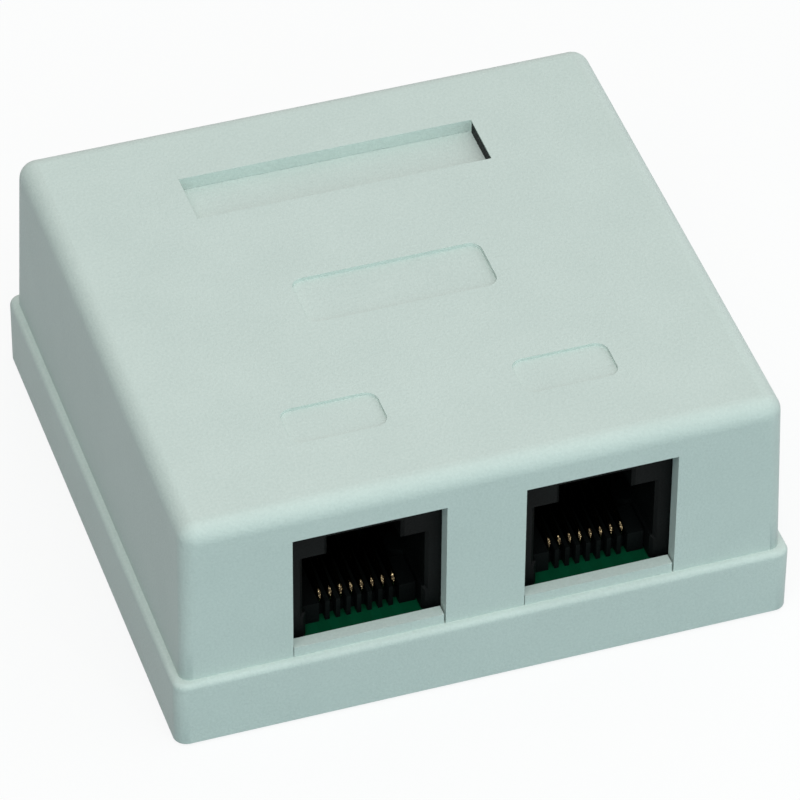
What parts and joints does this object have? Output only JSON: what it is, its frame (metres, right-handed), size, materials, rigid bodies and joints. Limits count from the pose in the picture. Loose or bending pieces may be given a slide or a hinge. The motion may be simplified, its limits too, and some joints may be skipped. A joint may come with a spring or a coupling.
{
  "type": "surface mount jack box",
  "caption": "Low square wall box for data cabling: white lift-off cover with modular jack ports in its front, on a tray that carries the circuit board.",
  "frame": {"origin": "centre of the base's underside, which lies against the wall", "axes": "+Z away from the wall, -Y out of the ports, +X along the front"},
  "size_m": [0.06, 0.0576, 0.0258],
  "materials": {
    "white_plastic": "fine moulded grain",
    "black_plastic": "moulded",
    "board_green": "solder mask on glass laminate",
    "contact_gold": "thin gold plating",
    "contact_tin": "tin plating",
    "block_plastic": "moulded",
    "screw_steel": "bright zinc"
  },
  "bodies": {
    "base_unit": {"base": "white_plastic", "board_screws": "screw_steel", "circuit_board": "board_green", "contact_carrier_left": "black_plastic", "contact_carrier_right": "black_plastic", "idc_block_left": "block_plastic", "idc_block_right": "block_plastic", "idc_contact_left_1": "contact_tin", "idc_contact_left_2": "contact_tin", "idc_contact_left_3": "contact_tin", "idc_contact_left_4": "contact_tin", "idc_contact_left_5": "contact_tin", "idc_contact_left_6": "contact_tin", "idc_contact_left_7": "contact_tin", "idc_contact_left_8": "contact_tin", "idc_contact_right_1": "contact_tin", "idc_contact_right_2": "contact_tin", "idc_contact_right_3": "contact_tin", "idc_contact_right_4": "contact_tin", "idc_contact_right_5": "contact_tin", "idc_contact_right_6": "contact_tin", "idc_contact_right_7": "contact_tin", "idc_contact_right_8": "contact_tin", "jack_contact_left_1": "contact_gold", "jack_contact_left_2": "contact_gold", "jack_contact_left_3": "contact_gold", "jack_contact_left_4": "contact_gold", "jack_contact_left_5": "contact_gold", "jack_contact_left_6": "contact_gold", "jack_contact_left_7": "contact_gold", "jack_contact_left_8": "contact_gold", "jack_contact_right_1": "contact_gold", "jack_contact_right_2": "contact_gold", "jack_contact_right_3": "contact_gold", "jack_contact_right_4": "contact_gold", "jack_contact_right_5": "contact_gold", "jack_contact_right_6": "contact_gold", "jack_contact_right_7": "contact_gold", "jack_contact_right_8": "contact_gold", "jack_housing_left": "black_plastic", "jack_housing_right": "black_plastic"},
    "cover": {"cover": "white_plastic"}
  },
  "joints": [
    {"name": "cover_lift", "type": "slide", "parent": "base_unit", "child": "cover", "axis": [0, 0, 1], "range_m": [0, 0.03]}
  ]
}
